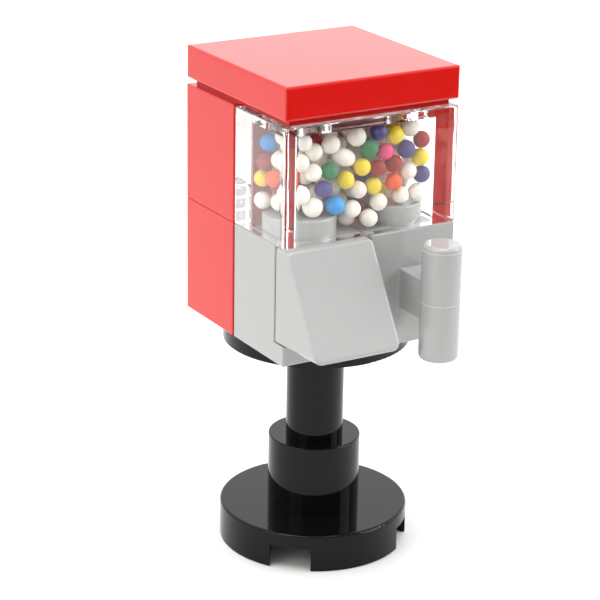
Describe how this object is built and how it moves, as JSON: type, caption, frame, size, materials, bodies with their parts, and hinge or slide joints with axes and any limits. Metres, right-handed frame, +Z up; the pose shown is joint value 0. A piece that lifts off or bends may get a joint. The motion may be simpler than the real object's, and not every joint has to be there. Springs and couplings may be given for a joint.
{
  "type": "toy gumball machine",
  "caption": "Miniature gumball machine of stacking bricks: round black stand, grey chute and handle, red back and lid, and a clear hopper of coloured gumballs.",
  "frame": {"origin": "centre of the stand's underside, at the open lower end of the stem's bore, on the surface that the stand rests on", "axes": "+Z up along the stem, -Y towards the front with the chute and the handle, +X to the right seen from the front, on the handle's side"},
  "size_m": [0.0158, 0.0215, 0.0416],
  "materials": {
    "black_plastic": "polished black moulded plastic",
    "grey_plastic": "polished light grey moulded plastic",
    "red_plastic": "polished red moulded plastic",
    "clear_plastic": "clear colourless moulded plastic",
    "candy_white": "dull sugar shell, white",
    "candy_yellow": "dull sugar shell, yellow",
    "candy_red": "dull sugar shell, red",
    "candy_navy": "dull sugar shell, navy",
    "candy_sky": "dull sugar shell, sky",
    "candy_green": "dull sugar shell, green",
    "candy_orange": "dull sugar shell, orange",
    "candy_pink": "dull sugar shell, pink"
  },
  "bodies": {
    "stand": {"stand": "black_plastic"},
    "head": {"chute_brick": "grey_plastic", "handle_brick": "grey_plastic", "back_brick_lower": "red_plastic", "back_brick_upper": "red_plastic"},
    "chute": {"chute": "grey_plastic"},
    "hopper": {"hopper": "clear_plastic", "gumballs_white": "candy_white", "gumballs_yellow": "candy_yellow", "gumballs_red": "candy_red", "gumballs_navy": "candy_navy", "gumballs_sky": "candy_sky", "gumballs_green": "candy_green", "gumballs_orange": "candy_orange", "gumballs_pink": "candy_pink"},
    "lid": {"lid": "red_plastic"}
  },
  "joints": [
    {"name": "head_lift", "type": "slide", "parent": "stand", "child": "head", "axis": [0, 0, 1], "range_m": [0, 0.012]},
    {"name": "chute_pull", "type": "slide", "parent": "head", "child": "chute", "axis": [0, -1, 0], "range_m": [0, 0.01]},
    {"name": "hopper_lift", "type": "slide", "parent": "head", "child": "hopper", "axis": [0, 0, 1], "range_m": [0, 0.014]},
    {"name": "lid_lift", "type": "slide", "parent": "hopper", "child": "lid", "axis": [0, 0, 1], "range_m": [0, 0.01]}
  ]
}
